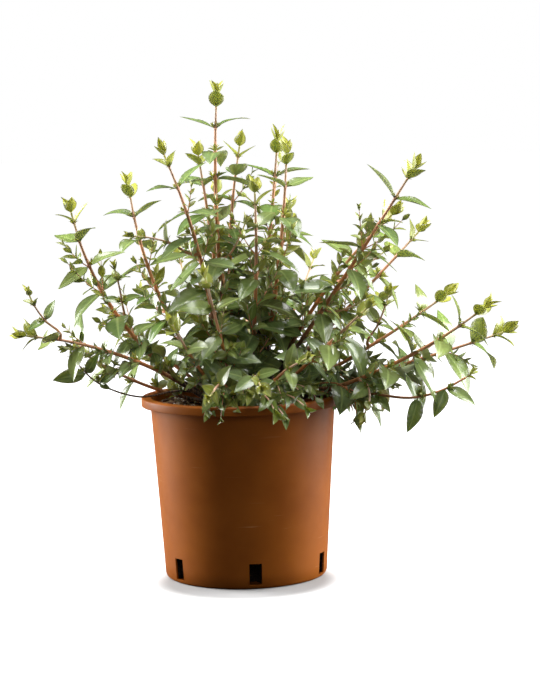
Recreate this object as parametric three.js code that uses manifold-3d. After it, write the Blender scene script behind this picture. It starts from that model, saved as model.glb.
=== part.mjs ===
// A young glossy abelia in a round plastic nursery pot: the moulded pot, the rooted potting soil,
// the woody crown, the canes that spring from it and the side shoots that the canes carry.
// Units are millimetres and +Z is up. The origin is the middle of the pot's underside.
// The shrub's fuller, rounder face looks towards -Y, and its longest low canes reach out to +X.
import * as THREE from 'three';
import { mergeVertices } from 'three/addons/utils/BufferGeometryUtils.js';
import Module from 'manifold-3d';

const wasm = await Module();
wasm.setup();

// ---------------------------------------------------------------- driving dimensions
const GAP = 0.3; // left between pieces that touch

const POT = {
  height: 170,
  baseRadius: 76,
  neckRadius: 86.5, // outside, just under the rim
  rimRadius: 95,
  rimHeight: 8, // the turned-down skirt of the rim
  wall: 1.6,
  floor: 2.4,
  footRound: 3.5,
  segments: 60,
};
const SLOT = { count: 6, width: 11.5, bottom: 3.8, height: 20, firstAngle: -83, depth: 8 };
const SOIL = { level: 156, segments: 40 };

// The crown is a low dome on a root stock. The stock's parts are given as radius and depth
// under the soil's surface.
const CROWN = {
  radius: 29,
  rise: 13,
  shoulder: { radius: 25, depth: 7 },
  butt: { radius: 9, depth: 18 },
  root: { radius: 5.4, depth: 46 },
  segments: 18,
};

const CANE = { footRadius: 2.1, tipRadius: 0.75, ringEvery: 30, bare: 34, leafScale: 1 };
const SHOOT = { footRadius: 1.1, tipRadius: 0.6, ringEvery: 24, bare: 9, leafScale: 0.8 };
const STEM_SIDES = 5;
const SUNK = 1; // how deep a cane's foot starts under the crown's surface

const LEAF = {
  length: 31, // a full-grown blade with its short stalk
  widthShare: 0.46,
  widest: 0.38, // where it is widest, as a share of its length
  keel: 1.1, // how far the midrib lies under the leaf's edges
  internode: 25, // stem between two full-grown pairs
  tipDrop: 0.6, // from a stem's end down to its first pair
  twist: 2.4, // radians round the crown's plan from one stem's first pair to the next stem's
  droop: 0.07, // how much further each older pair hangs
  sizeVaries: 0.12,
  spacingVaries: 0.1,
  turnVaries: 0.25,
};
// A pair's size and its angle from the stem, counted from the tip down; later pairs repeat the last.
const PAIR_SIZE = [0.52, 0.72, 0.88, 1.0];
const PAIR_ANGLE = [26, 50, 66, 78];
const INTERNODE_SHARE = [0.42, 0.8, 1.0];
// Degrees that a leaf may turn round its stem to keep clear of its neighbours, in order of trying.
const TURNS = [0, 20, -20, 40, -40];

// Each cane: foot [x, y] on the crown, tip [x, y, z], and bow, how far the middle of the cane stands
// away from the straight line between the two.
const CANES = [
  { name: 'cane_01', foot: [-6, 4], tip: [-18, 16, 450], bow: [-8, 0, 0] },
  { name: 'cane_02', foot: [-22, -6], tip: [-66, -34, 396], bow: [13, -4, 0] },
  { name: 'cane_03', foot: [-2, 15], tip: [2, 44, 402], bow: [-10, 0, 0] },
  { name: 'cane_04', foot: [-14, 10], tip: [-37, 30, 394], bow: [3, 6, 0] },
  { name: 'cane_05', foot: [8, 9], tip: [38, 36, 405], bow: [2, 6, 0] },
  { name: 'cane_06', foot: [14, -2], tip: [46, -10, 394], bow: [5, -2, 0] },
  { name: 'cane_07', foot: [5, -10], tip: [16, -42, 360], bow: [4, -6, 0] },
  { name: 'cane_08', foot: [-25, 2], tip: [-154, -20, 345], bow: [-20, 0, -14] },
  { name: 'cane_09', foot: [-20, 14], tip: [-105, 50, 366], bow: [-14, 4, -6] },
  { name: 'cane_10', foot: [-23, -14], tip: [-196, -46, 234], bow: [5, -6, 14] },
  { name: 'cane_11', foot: [-25, 8], tip: [-154, 24, 212], bow: [-6, 6, -7] },
  { name: 'cane_12', foot: [15, -11], tip: [160, -50, 378], bow: [2, -10, 0] },
  { name: 'cane_13', foot: [21, -4], tip: [142, -16, 336], bow: [-9, -2, 8] },
  { name: 'cane_14', foot: [17, 8], tip: [172, 60, 316], bow: [2, 4, 0] },
  { name: 'cane_15', foot: [25, 3], tip: [194, 18, 258], bow: [2, 2, -4] },
  { name: 'cane_16', foot: [24, -11], tip: [222, -62, 252], bow: [6, -4, -11] },
  { name: 'cane_17', foot: [24, 13], tip: [250, 34, 220], bow: [6, 6, -1] },
  { name: 'cane_18', foot: [-15, -18], tip: [-60, -94, 246], bow: [-4, -8, 4] },
  { name: 'cane_19', foot: [-6, -23], tip: [-27, -122, 184], bow: [0, -4, 16] },
  { name: 'cane_20', foot: [9, -23], tip: [58, -108, 214], bow: [2, -8, 8] },
  { name: 'cane_21', foot: [18, -18], tip: [114, -86, 256], bow: [4, -6, 4] },
  { name: 'cane_22', foot: [-7, -12], tip: [-30, -80, 286], bow: [2, -8, -4] },
  { name: 'cane_23', foot: [2, -25], tip: [18, -124, 192], bow: [0, -4, 18] },
  { name: 'cane_24', foot: [-12, 20], tip: [-62, 118, 296], bow: [-4, 10, 0] },
  { name: 'cane_25', foot: [0, 25], tip: [6, 158, 244], bow: [0, 10, 8] },
  { name: 'cane_26', foot: [9, 20], tip: [72, 128, 288], bow: [4, 10, 2] },
  { name: 'cane_27', foot: [-18, 17], tip: [-130, 96, 240], bow: [-6, 6, 2] },
  { name: 'cane_28', foot: [18, 19], tip: [142, 112, 252], bow: [4, 6, 2] },
  { name: 'cane_29', foot: [-6, 12], tip: [-22, 92, 356], bow: [-2, 8, 0] },
  { name: 'cane_30', foot: [4, 15], tip: [48, 86, 338], bow: [2, 8, 0] },
];

// Each side shoot: the cane it grows from, how far up that cane, and its own tip and bow.
const SHOOTS = [
  { name: 'shoot_01', cane: 'cane_08', at: 0.52, tip: [-114, -34, 292], bow: [2, -2, 0] },
  { name: 'shoot_02', cane: 'cane_02', at: 0.6, tip: [-96, -28, 322], bow: [-4, 0, 6] },
  { name: 'shoot_03', cane: 'cane_10', at: 0.84, tip: [-190, -62, 272], bow: [-5, -2, 2] },
  { name: 'shoot_04', cane: 'cane_13', at: 0.62, tip: [136, 16, 300], bow: [2, 4, -2] },
  { name: 'shoot_05', cane: 'cane_16', at: 0.4, tip: [112, -62, 158], bow: [8, -6, 8] },
  { name: 'shoot_06', cane: 'cane_01', at: 0.46, tip: [6, 4, 330], bow: [3, -2, 0] },
  { name: 'shoot_07', cane: 'cane_15', at: 0.55, tip: [138, -14, 262], bow: [2, -2, 0] },
  { name: 'shoot_08', cane: 'cane_12', at: 0.42, tip: [112, -62, 262], bow: [4, -2, -3] },
  { name: 'shoot_09', cane: 'cane_09', at: 0.45, tip: [-96, 78, 262], bow: [-2, 4, -2] },
  { name: 'shoot_10', cane: 'cane_17', at: 0.62, tip: [196, 58, 214], bow: [2, 4, 2] },
];

// ---------------------------------------------------------------- materials
const material = (name, color, roughness) => {
  const made = new THREE.MeshStandardMaterial({ color, roughness, metalness: 0 });
  made.name = name;
  return made;
};
const MATERIALS = {
  plastic: material('terracotta_plastic', 0xb0602c, 0.42),
  soil: material('potting_soil', 0x6b5240, 0.95),
  bark: material('woody_bark', 0x4a3426, 0.85),
  shrub: material('leafy_cane', 0x4f6b2f, 0.5),
};

// ---------------------------------------------------------------- solids
const radians = THREE.MathUtils.degToRad;
const UP = new THREE.Vector3(0, 0, 1);

// A closed geometry as a solid that can be joined and cut. Faces with no area are dropped.
function solidOf(geometry) {
  const bare = new THREE.BufferGeometry().setAttribute('position', geometry.getAttribute('position'));
  bare.setIndex(geometry.index);
  const merged = mergeVertices(bare, 1e-3);
  const corners = [];
  for (let i = 0; i < merged.index.count; i += 3) {
    const [a, b, c] = [0, 1, 2].map((k) => merged.index.getX(i + k));
    if (a !== b && b !== c && c !== a) corners.push(a, b, c);
  }
  return new wasm.Manifold(
    new wasm.Mesh({
      numProp: 3,
      vertProperties: merged.attributes.position.array,
      triVerts: new Uint32Array(corners),
    }),
  );
}

// A solid as a geometry, moved so that origin is its zero.
function geometryOf(solid, origin = new THREE.Vector3()) {
  const mesh = solid.getMesh();
  const geometry = new THREE.BufferGeometry();
  geometry.setAttribute('position', new THREE.BufferAttribute(new Float32Array(mesh.vertProperties), 3));
  geometry.setIndex(new THREE.BufferAttribute(new Uint32Array(mesh.triVerts), 1));
  geometry.translate(-origin.x, -origin.y, -origin.z);
  geometry.computeVertexNormals();
  return geometry;
}

// A profile of [radius, height] points, from the axis round to the axis, turned about +Z.
function turned(profile, segments) {
  const points = profile.map(([radius, height]) => new THREE.Vector2(radius, height));
  return solidOf(new THREE.LatheGeometry(points, segments).rotateX(Math.PI / 2));
}

// ---------------------------------------------------------------- pot
// The outside radius of the pot's wall at a height; the wall is straight and widens upwards.
const potRadius = (z) =>
  POT.baseRadius + ((POT.neckRadius - POT.baseRadius) * z) / (POT.height - POT.rimHeight);

// The rounded corner where the wall meets the underside, as [radius, height] points on a quarter turn.
function footCorner(steps) {
  const { footRound } = POT;
  return Array.from({ length: steps + 1 }, (_, i) => {
    const angle = ((i / steps) * Math.PI) / 2;
    return [potRadius(0) - footRound * (1 - Math.sin(angle)), footRound * (1 - Math.cos(angle))];
  });
}

// A thin tapered shell with a flat floor and a flange that turns down into a short skirt.
function potShell() {
  const { height, rimRadius, rimHeight, wall, floor } = POT;
  const under = height - wall;
  const outside = [[0, 0], ...footCorner(3), [potRadius(under), under]];
  const rim = [
    [rimRadius - wall, under],
    [rimRadius - wall, height - rimHeight],
    [rimRadius, height - rimHeight],
    [rimRadius, height - wall],
    [rimRadius - wall, height],
  ];
  const inside = [
    [potRadius(height) - wall, height],
    [potRadius(floor) - wall, floor],
    [0, floor],
  ];
  return turned([...outside, ...rim, ...inside], POT.segments);
}

// Drain slots: upright windows cut through the wall, evenly spaced just above the floor.
function potWithSlots() {
  let shell = potShell();
  for (let i = 0; i < SLOT.count; i += 1) {
    const cutter = new THREE.BoxGeometry(SLOT.depth, SLOT.width, SLOT.height);
    cutter.translate(potRadius(SLOT.bottom + SLOT.height / 2), 0, SLOT.bottom + SLOT.height / 2);
    cutter.rotateZ(radians(SLOT.firstAngle + (i * 360) / SLOT.count));
    shell = shell.subtract(solidOf(cutter));
  }
  return shell;
}

// ---------------------------------------------------------------- crown and soil
// The height of the crown's dome over the soil, at a distance from its middle.
const domeHeight = (distance) => CROWN.rise * Math.sqrt(Math.max(0, 1 - (distance / CROWN.radius) ** 2));

// The woody crown: a low dome of fused cane bases on a tapering root stock. Grow makes it larger
// all round, to cut its neighbours back from it.
function crownBody(grow = 0) {
  const { radius, shoulder, butt, root, segments } = CROWN;
  const dome = [1, 0.9, 0.7, 0.4, 0].map((share) => [
    radius * share + (share > 0 ? grow : 0),
    SOIL.level + domeHeight(radius * share) + grow,
  ]);
  const stock = [
    [0, SOIL.level - root.depth - grow],
    [root.radius + grow, SOIL.level - root.depth - grow],
    [butt.radius + grow, SOIL.level - butt.depth],
    [shoulder.radius + grow, SOIL.level - shoulder.depth - grow],
  ];
  return turned([...stock, ...dome], segments);
}

// The soil fills the pot to just under the rim and holds the crown's stock.
function soilBody() {
  const { level, segments } = SOIL;
  const low = POT.floor + GAP;
  const inside = (z) => potRadius(z) - POT.wall - GAP * 2;
  const fill = turned([[0, low], [inside(low), low], [inside(level), level], [0, level]], segments);
  return fill.subtract(crownBody(GAP));
}

// ---------------------------------------------------------------- stems
// The centreline of a stem that bows by the given offset at its middle.
function centreline(foot, tip, bow) {
  const middle = foot.clone().add(tip).multiplyScalar(0.5).addScaledVector(bow, 2);
  return new THREE.QuadraticBezierCurve3(foot, middle, tip);
}

// Points along a curve, evenly spaced, that a tube's straight stretches join.
const spineOf = (curve, ringEvery) =>
  curve.getSpacedPoints(Math.max(3, Math.round(curve.getLength() / ringEvery)));

// The point on a spine's straight stretches at a share of its length.
function onSpine(spine, share) {
  const place = share * (spine.length - 1);
  const stretch = Math.min(Math.floor(place), spine.length - 2);
  return spine[stretch].clone().lerp(spine[stretch + 1], place - stretch);
}

// A tapered tube of flat sides along a curve, closed at both ends. Each ring of corners stands
// square to the curve, and keeps its turn by holding one corner level.
function taperedTube(curve, spine, { footRadius, tipRadius }) {
  const sides = STEM_SIDES;
  const rings = spine.length - 1;
  const across = new THREE.Vector3(0, 1, 0).cross(curve.getTangentAt(0.5)).normalize();
  const positions = [];
  for (let i = 0; i <= rings; i += 1) {
    const along = curve.getTangentAt(i / rings);
    const side = across.clone().addScaledVector(along, -across.dot(along)).normalize();
    const over = along.clone().cross(side);
    const radius = THREE.MathUtils.lerp(footRadius, tipRadius, i / rings);
    for (let j = 0; j < sides; j += 1) {
      const turn = (2 * Math.PI * j) / sides;
      const point = spine[i].clone();
      point.addScaledVector(side, radius * Math.cos(turn)).addScaledVector(over, radius * Math.sin(turn));
      positions.push(point.x, point.y, point.z);
    }
  }
  const corners = [];
  for (let i = 0; i < rings; i += 1) {
    for (let j = 0; j < sides; j += 1) {
      const [a, b] = [i * sides + j, i * sides + ((j + 1) % sides)];
      corners.push(a, b, b + sides, a, b + sides, a + sides);
    }
  }
  const last = rings * sides;
  for (let j = 1; j < sides - 1; j += 1) corners.push(0, j + 1, j, last, last + j, last + j + 1);
  const geometry = new THREE.BufferGeometry();
  geometry.setAttribute('position', new THREE.Float32BufferAttribute(positions, 3));
  geometry.setIndex(corners);
  return solidOf(geometry);
}

// ---------------------------------------------------------------- leaves
// A closed sliver with four corners: a low edge and a high edge that cross over each other.
function sliver(low1, low2, high1, high2) {
  const geometry = new THREE.BufferGeometry();
  const points = [low1, low2, high1, high2].flatMap((p) => [p.x, p.y, p.z]);
  geometry.setAttribute('position', new THREE.Float32BufferAttribute(points, 3));
  geometry.setIndex([2, 3, 0, 3, 2, 1, 0, 1, 2, 1, 0, 3]);
  return solidOf(geometry);
}

// A leaf is a folded kite: the keel runs from the stem's middle to the tip, and the two edges
// stand above it where the leaf is widest. Its blade alone starts clear of the stem.
function leaf(base, direction, face, length) {
  const side = direction.clone().cross(face).normalize();
  const tip = base.clone().addScaledVector(direction, length);
  const wide = base.clone().addScaledVector(direction, length * LEAF.widest);
  wide.addScaledVector(face, LEAF.keel);
  const half = (length * LEAF.widthShare) / 2;
  const left = wide.clone().addScaledVector(side, half);
  const right = wide.clone().addScaledVector(side, -half);
  const clear = base.clone().addScaledVector(direction, CANE.footRadius + GAP * 3);
  return { whole: sliver(base, tip, left, right), blade: sliver(clear, tip, left, right) };
}

// Where a stem's leaf pairs sit, as distances along it from the tip pair down to the bare foot.
function pairPlaces(length, bare) {
  const places = [];
  let left = length - LEAF.tipDrop;
  for (let k = 0; left > bare; k += 1) {
    places.push(left);
    const vary = 1 + LEAF.spacingVaries * Math.sin(5 * k + length);
    left -= LEAF.internode * (INTERNODE_SHARE[k] ?? 1) * vary;
  }
  return places;
}

// The two directions of pair k: opposite each other, a quarter turn on from the pair before, and
// leaning from the stem by the pair's angle. Old leaves hang a little.
function pairDirections(along, k, twist) {
  const steep = Math.abs(along.z) > 0.9;
  const side = along.clone().cross(steep ? new THREE.Vector3(0, -1, 0) : UP).normalize();
  const over = side.clone().cross(along);
  const turn = twist + (k * Math.PI) / 2 + LEAF.turnVaries * Math.sin(3 * k + twist);
  const angle = radians(PAIR_ANGLE[Math.min(k, PAIR_ANGLE.length - 1)]);
  const droop = k > 1 ? LEAF.droop * k : 0;
  return [turn, turn + Math.PI].map((round) => {
    const out = side.clone().multiplyScalar(Math.cos(round)).addScaledVector(over, Math.sin(round));
    const lean = along.clone().multiplyScalar(Math.cos(angle)).addScaledVector(out, Math.sin(angle));
    return lean.addScaledVector(UP, -droop).normalize();
  });
}

// Solids that a new leaf has to stay clear of, each with its bounding box.
const placed = [];
const boxOf = (solid) => {
  const { min, max } = solid.boundingBox();
  return new THREE.Box3(new THREE.Vector3(...min), new THREE.Vector3(...max)).expandByScalar(GAP);
};
const remember = (solid) => placed.push({ solid, box: boxOf(solid) });
function isClear(solid) {
  const box = boxOf(solid);
  return placed.every((other) => !box.intersectsBox(other.box) || solid.intersect(other.solid).isEmpty());
}

// A leaf's upper face looks between the stem's way and straight up, square to the leaf.
function upperFace(along, direction) {
  const face = along.clone().addScaledVector(UP, 0.6);
  return face.addScaledVector(direction, -face.dot(direction)).normalize();
}

// Tries a leaf turned a little further round its stem each time, until it is clear of the rest.
function clearLeaf(base, along, direction, size) {
  for (const degrees of TURNS) {
    const way = direction.clone().applyAxisAngle(along, radians(degrees));
    const tried = leaf(base, way, upperFace(along, way), size);
    if (isClear(tried.blade)) {
      remember(tried.blade);
      return tried.whole;
    }
  }
  return null;
}

// All of a stem's leaves that find room, as solids that start in the stem's middle.
function leavesOf({ curve, spine, kind }, twist) {
  const length = curve.getLength();
  const found = [];
  pairPlaces(length, kind.bare).forEach((place, k) => {
    const along = curve.getTangentAt(place / length);
    const base = onSpine(spine, place / length);
    const size = kind.leafScale * LEAF.length * PAIR_SIZE[Math.min(k, PAIR_SIZE.length - 1)];
    for (const direction of pairDirections(along, k, twist)) {
      const vary = 1 + LEAF.sizeVaries * Math.sin(7 * k + 11 * direction.x);
      found.push(clearLeaf(base, along, direction, size * vary));
    }
  });
  return found.filter(Boolean);
}

// ---------------------------------------------------------------- the plant
const vector = (v) => new THREE.Vector3(...v);

// A bare stem: its curve, its spine and its tube. Kind is CANE or SHOOT.
function bareStem(name, kind, foot, tip, bow) {
  const curve = centreline(foot, vector(tip), vector(bow));
  const spine = spineOf(curve, kind.ringEvery);
  return { name, kind, curve, spine, solid: taperedTube(curve, spine, kind) };
}

// Canes start just inside the crown and are cut off at its surface.
function bareCanes() {
  const rooted = crownBody(GAP);
  return CANES.map(({ name, foot, tip, bow }) => {
    const height = SOIL.level + domeHeight(Math.hypot(...foot)) - SUNK;
    const cane = bareStem(name, CANE, vector([...foot, height]), tip, bow);
    return { ...cane, solid: cane.solid.subtract(rooted) };
  });
}

// Shoots start beside their cane, on the side that they grow towards.
function bareShoots(canes) {
  return SHOOTS.map(({ name, cane, at, tip, bow }) => {
    const { curve } = canes.find((other) => other.name === cane);
    const start = curve.getPointAt(at);
    const along = curve.getTangentAt(at);
    const away = vector(tip).sub(start);
    away.addScaledVector(along, -away.dot(along)).normalize();
    start.addScaledVector(away, CANE.footRadius + SHOOT.footRadius + GAP * 2);
    return bareStem(name, SHOOT, start, tip, bow);
  });
}

function node(name, solid, finish, origin = new THREE.Vector3()) {
  const mesh = new THREE.Mesh(geometryOf(solid, origin), finish);
  mesh.name = name;
  mesh.position.copy(origin);
  return mesh;
}

const container = new THREE.Group();
const pot = potWithSlots();
const soil = soilBody();
container.add(node('pot', pot, MATERIALS.plastic), node('potting_soil', soil, MATERIALS.soil));

const shrub = new THREE.Group();
const crown = crownBody();
shrub.add(node('crown', crown, MATERIALS.bark));

const canes = bareCanes();
const stems = [...canes, ...bareShoots(canes)];
[pot, soil, crown, ...stems.map((stem) => stem.solid)].forEach(remember);
stems.forEach((stem, index) => {
  const leaves = leavesOf(stem, index * LEAF.twist);
  const grown = leaves.reduce((whole, blade) => whole.add(blade), stem.solid);
  shrub.add(node(stem.name, grown, MATERIALS.shrub, stem.curve.getPoint(0)));
});

const root = new THREE.Group();
root.add(container, shrub);

export default root;
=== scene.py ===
# The looks of a potted abelia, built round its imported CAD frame. Lengths are in metres.
#
# The foliage follows the CAD: each CAD cane is read back as the places of its leaf pairs and the
# kites that its leaves are. A bark tube, finely shaped blades, young tufts and sprigs in the
# leaf axils and a bud at the tip grow on those. The pot, the soil and the woody crown are turned
# surfaces on the CAD's measures, with perlite, bark chips and fibres strewn on the soil. A skirt
# of low shoots and three trailing ones, which have no CAD node, hang over the pot's rim.
import math

import bpy
import numpy as np
from mathutils import Matrix, Vector


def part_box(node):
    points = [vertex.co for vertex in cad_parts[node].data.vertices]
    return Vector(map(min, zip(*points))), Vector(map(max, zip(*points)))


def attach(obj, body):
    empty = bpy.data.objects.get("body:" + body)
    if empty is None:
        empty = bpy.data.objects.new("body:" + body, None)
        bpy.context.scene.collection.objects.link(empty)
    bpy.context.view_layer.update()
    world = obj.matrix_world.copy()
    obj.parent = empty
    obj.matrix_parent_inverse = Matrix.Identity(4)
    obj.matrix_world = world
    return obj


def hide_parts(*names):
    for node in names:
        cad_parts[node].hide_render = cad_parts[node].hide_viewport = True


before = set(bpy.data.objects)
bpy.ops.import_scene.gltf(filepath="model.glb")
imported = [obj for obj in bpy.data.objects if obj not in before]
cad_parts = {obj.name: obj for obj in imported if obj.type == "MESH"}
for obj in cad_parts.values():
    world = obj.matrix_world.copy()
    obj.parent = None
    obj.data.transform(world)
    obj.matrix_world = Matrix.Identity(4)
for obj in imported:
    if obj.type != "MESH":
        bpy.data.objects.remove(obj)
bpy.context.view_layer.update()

MM = 0.001
BODY = "root"
CARRIED = ("age", "tone", "along", "across", "under")  # numbers that foliage meshes hold
VEIN_PAIRS = 7
UP = np.array([0.0, 0.0, 1.0])


# ---------------------------------------------------------------- numbers
def unit(vectors):
    """Each vector over its own length."""
    return vectors / np.linalg.norm(vectors, axis=-1, keepdims=True)


def square_to(vectors, way):
    """The parts of vectors that are square to way, at length 1."""
    along = (vectors * way).sum(-1, keepdims=True) * way
    return unit(vectors - along)


def ease(x, low, high):
    """0 below low, 1 above high, and the S-curve 3t^2 - 2t^3 between."""
    t = np.clip((x - low) / (high - low), 0, 1)
    return t * t * (3 - 2 * t)


def round_angles(count):
    """Angles evenly round a full turn, in radians."""
    return 2 * np.pi * np.arange(count) / count


def ripple(points, size, seed, waves=8):
    """A smooth random height, about -1 to 1, at each point: the mean of sine waves about size
    long, each running in a direction of its own."""
    dice = np.random.default_rng(seed)
    ways = unit(dice.normal(size=(waves, 3))) / (size * dice.uniform(0.7, 1.4, (waves, 1)))
    return 1.7 * np.sin(2 * np.pi * (points @ ways.T + dice.uniform(0, 1, waves))).mean(-1)


def along_chords(knots):
    """Each knot's distance from the first, counted along the chords between knots."""
    return np.concatenate([[0], np.cumsum(np.linalg.norm(np.diff(knots, axis=0), axis=1))])


def arc(centre, radius, start, end, steps):
    """Profile points [radius, height] on a circle round centre between two angles in degrees."""
    angle = np.radians(np.linspace(start, end, steps))
    return np.stack([centre[0] + radius * np.cos(angle), centre[1] + radius * np.sin(angle)], -1)


# ---------------------------------------------------------------- meshes
def shells(rings, start=None, end=None):
    """Closed shells from rings shaped (shells, rows, sides, values). A ring's points run
    anticlockwise about the way that the rows go. An end closes on a point of its own, or flat.
    The first three values are a point's place; the rest are carried along."""
    count, rows, sides, values = rings.shape
    index = np.arange(count * rows * sides).reshape(count, rows, sides)
    after = np.roll(index, -1, -1)
    walls = np.stack([index[:, :-1], after[:, :-1], after[:, 1:], index[:, 1:]], -1)
    points = rings.reshape(-1, values)
    faces = walls.reshape(-1, 4).tolist()
    for pole, ring in ((start, index[:, 0, ::-1]), (end, index[:, -1])):
        if pole is None:
            faces += ring.tolist()
            continue
        peaks = np.broadcast_to(len(points) + np.arange(count)[:, None], ring.shape)
        points = np.concatenate([points, pole.reshape(count, values)])
        faces += np.stack([ring, np.roll(ring, -1, -1), peaks], -1).reshape(-1, 3).tolist()
    return points, faces


def joined(parts):
    """Several (points, faces) as one."""
    points, faces, total = [], [], 0
    for own_points, own_faces in parts:
        points.append(own_points)
        faces += [[total + corner for corner in face] for face in own_faces]
        total += len(own_points)
    return np.concatenate(points), faces


def piece(name, parts, stands_for=(), carried=(), sharp=40):
    """A shown piece that rides on the part's body. Parts are (points, faces, material); carried
    names the values that points hold after their place. Edges over sharp degrees stay crisp."""
    points, faces = joined([(p, f) for p, f, _ in parts])
    mesh = bpy.data.meshes.new(name)
    mesh.from_pydata(points[:, :3], [], faces)
    for column, key in enumerate(carried, 3):
        held = mesh.attributes.new(key, "FLOAT", "POINT")
        held.data.foreach_set("value", points[:, column].astype(np.float32))
    which = np.repeat(np.arange(len(parts), dtype=np.int32), [len(f) for _, f, _ in parts])
    mesh.polygons.foreach_set("material_index", which)
    mesh.polygons.foreach_set("use_smooth", np.ones(len(faces), bool))
    mesh.set_sharp_from_angle(angle=math.radians(sharp))
    for _, _, finish in parts:
        mesh.materials.append(finish)
    made = bpy.data.objects.new(name, mesh)
    bpy.context.scene.collection.objects.link(made)
    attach(made, BODY)
    if stands_for:
        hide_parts(*stands_for)


def turned(profile, angles, lift=None):
    """A closed profile of [radius, height] rows, axis to axis, turned about +Z through angles.
    Lift takes points and returns how far each is moved, as a vector. Returns what shells takes:
    the rings and the two end points."""
    radius, height = profile[1:-1, 0], profile[1:-1, 1]
    x, y = radius[:, None] * np.cos(angles), radius[:, None] * np.sin(angles)
    rings = np.stack([x, y, np.broadcast_to(height[:, None], x.shape)], -1)[None]
    ends = np.array([[0, 0, profile[0, 1]], [0, 0, profile[-1, 1]]])
    if lift is not None:
        rings, ends = rings + lift(rings), ends + lift(ends)
    return rings, ends[:1], ends[1:]


def tube(paths, radii, sides, age):
    """Bark tubes: circles of the given radii along each path, square to it, closed by a flat
    foot and a pointed tip. Paths are shaped (tubes, rows, 3), radii and ages (tubes, rows)."""
    way = unit(np.gradient(paths, axis=1))
    chord = paths[:, -1] - paths[:, 0]
    reference = np.eye(3)[np.abs(chord).argmin(1)]
    across = unit(np.cross(way, reference[:, None]))
    square = np.cross(way, across)
    turn = round_angles(sides)
    circle = across[:, :, None] * np.cos(turn)[:, None] + square[:, :, None] * np.sin(turn)[:, None]
    rings = paths[:, :, None] + radii[:, :, None, None] * circle
    values = np.zeros(rings.shape[:-1] + (len(CARRIED),))
    values[..., 0] = age[:, :, None]
    tips = np.concatenate([paths[:, -1] + way[:, -1] * radii[:, -1:], values[:, -1, 0]], -1)
    return shells(np.concatenate([rings, values], -1), end=tips)


# ---------------------------------------------------------------- finishes
def linear(code):
    """An sRGB colour such as "#b4602e" as linear red, green, blue and 1."""
    shares = [int(code[i : i + 2], 16) / 255 for i in (1, 3, 5)]
    return [s / 12.92 if s <= 0.04045 else ((s + 0.055) / 1.055) ** 2.4 for s in shares] + [1.0]


def add(tree, kind, inputs=None, out=0, stops=None, **settings):
    """Adds a shader node with its settings and links, and returns one of its outputs. Inputs are
    values, sRGB colours or other nodes' outputs. Stops are a ramp's colours by their place."""
    made = tree.nodes.new("ShaderNode" + kind)
    for key, value in settings.items():
        setattr(made, key, value)
    for key, value in (inputs or {}).items():
        if isinstance(value, bpy.types.NodeSocket):
            tree.links.new(value, made.inputs[key])
        else:
            made.inputs[key].default_value = linear(value) if isinstance(value, str) else value
    for number, (place, colour) in enumerate((stops or {}).items()):
        ramp = made.color_ramp.elements
        stop = ramp[number] if number < 2 else ramp.new(place)
        stop.position, stop.color = place, linear(colour)
    return made.outputs[out]


def start_finish(name, **sockets):
    """A material's tree with its one Principled shader's own values set. Names use _ for a space."""
    made = bpy.data.materials.new(name)
    made.use_nodes = True
    shader = made.node_tree.nodes["Principled BSDF"]
    for key, value in sockets.items():
        shader.inputs[key.replace("_", " ")].default_value = value
    return made, made.node_tree


def end_finish(made, colour, height=None, depth=0.0, **sockets):
    """Links what the tree worked out to the shader: its colour, a bump that is depth deep, and
    any other sockets."""
    tree = made.node_tree
    shader = tree.nodes["Principled BSDF"]
    links = {"Base Color": colour, **{key.replace("_", " "): value for key, value in sockets.items()}}
    if height is not None:
        links["Normal"] = add(tree, "Bump", {"Height": height, "Distance": depth, "Strength": 1.0})
    for key, value in links.items():
        tree.links.new(value, shader.inputs[key])
    return made


def moulded_polypropylene():
    """Injection-moulded polypropylene, terracotta-coloured: a satin skin with faint flow clouds
    in the colour, an orange peel that is drawn coarse enough to show, and pale level scuffs
    where pots were stacked."""
    made, tree = start_finish("moulded_polypropylene", IOR=1.49, Specular_IOR_Level=0.2)
    place = add(tree, "TexCoord", out="Object")
    clouds = add(tree, "TexNoise", {"Vector": place, "Scale": 1 / (45 * MM), "Detail": 3.0})
    colour = add(tree, "ValToRGB", {"Fac": clouds}, stops={0.35: "#9c5312", 0.65: "#a95d18"})
    level = add(tree, "Mapping", {"Vector": place, "Scale": (1, 1, 28)})
    scuffs = add(tree, "TexNoise", {"Vector": level, "Scale": 1 / (60 * MM), "Detail": 4.0})
    scuffs = add(tree, "MapRange", {"Value": scuffs, "From Min": 0.66, "From Max": 0.8})
    patches = add(tree, "TexNoise", {"Vector": place, "Scale": 1 / (70 * MM)})
    patches = add(tree, "MapRange", {"Value": patches, "From Min": 0.5, "From Max": 0.62})
    worn = add(tree, "Math", {0: scuffs, 1: patches}, operation="MULTIPLY")
    colour = add(tree, "Mix", {0: worn, 6: colour, 7: "#d39468"}, out=2, data_type="RGBA")
    gloss = add(tree, "TexNoise", {"Vector": place, "Scale": 1 / (9 * MM)})
    satin = {"From Min": 0.3, "From Max": 0.7, "To Min": 0.42, "To Max": 0.52}
    gloss = add(tree, "MapRange", {"Value": gloss, **satin})
    peel = add(tree, "TexNoise", {"Vector": place, "Scale": 1 / (1.6 * MM), "Detail": 1.0})
    return end_finish(made, colour, peel, 0.02 * MM, Roughness=gloss)


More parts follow.
